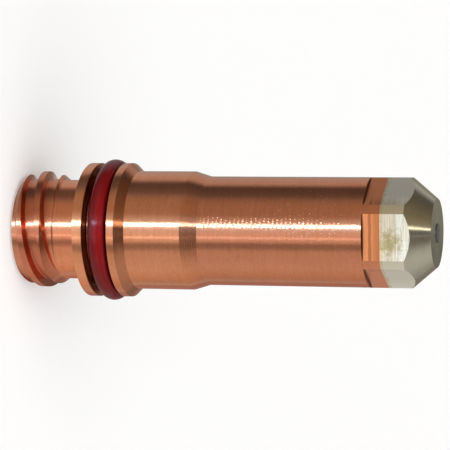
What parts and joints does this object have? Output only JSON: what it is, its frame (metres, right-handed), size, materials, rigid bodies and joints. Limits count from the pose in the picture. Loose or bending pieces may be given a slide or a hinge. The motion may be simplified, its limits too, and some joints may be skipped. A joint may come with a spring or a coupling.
{
  "type": "plasma cutting torch electrode",
  "caption": "Screw-in electrode for a liquid-cooled plasma cutting torch: copper tube body with a short thread and an O-ring flange, silver nose with wrench flats and an emitter.",
  "frame": {"origin": "centre of the rear rim, on the axis, where the electrode stands", "axes": "+Z along the axis from the threaded rear end to the nose"},
  "size_m": [0.0134, 0.0134, 0.0399],
  "materials": {
    "copper": "turned copper, bright",
    "silver": "machined silver, fine satin",
    "hafnium": "dark grey metal, satin",
    "o_ring_rubber": "satin red rubber"
  },
  "bodies": {
    "root": {"copper_body": "copper", "silver_nose": "silver", "emitter": "hafnium", "o_ring": "o_ring_rubber"}
  },
  "joints": []
}
